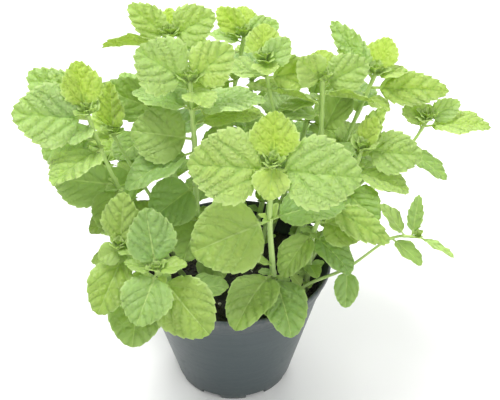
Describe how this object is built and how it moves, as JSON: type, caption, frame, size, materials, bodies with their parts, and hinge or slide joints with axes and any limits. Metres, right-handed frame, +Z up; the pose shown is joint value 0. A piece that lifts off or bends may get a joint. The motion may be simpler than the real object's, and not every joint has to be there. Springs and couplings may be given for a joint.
{
  "type": "potted mint plant",
  "caption": "Bushy mint plant with upright leafy stems growing from dark soil in a round tapered plastic nursery pot with a rim collar.",
  "frame": {"origin": "middle of the pot's flat underside, on the surface that the pot stands on", "axes": "+Z up along the pot's axis; -Y is the side that the picture shows; +X is the picture's right"},
  "size_m": [0.2616, 0.2035, 0.2371],
  "materials": {
    "pot_plastic": "satin",
    "potting_soil": "matte",
    "foliage": "satin"
  },
  "bodies": {
    "root": {"pot": "pot_plastic", "soil": "potting_soil", "stem_front": "foliage", "stem_left_centre": "foliage", "stem_far_left": "foliage", "stem_upper_left": "foliage", "stem_rear_centre": "foliage", "stem_rear_left": "foliage", "stem_right_centre": "foliage", "stem_right": "foliage", "stem_right_mid": "foliage", "stem_far_right": "foliage", "stem_front_right": "foliage", "stem_trailing": "foliage", "stem_low_front": "foliage", "stem_low_left": "foliage", "stem_thin_left": "foliage", "stem_rear_middle": "foliage", "stem_rear_right": "foliage", "stem_rear_far_left": "foliage", "stem_rear_low": "foliage", "stem_left_rear": "foliage", "stem_right_rear": "foliage"}
  },
  "joints": []
}
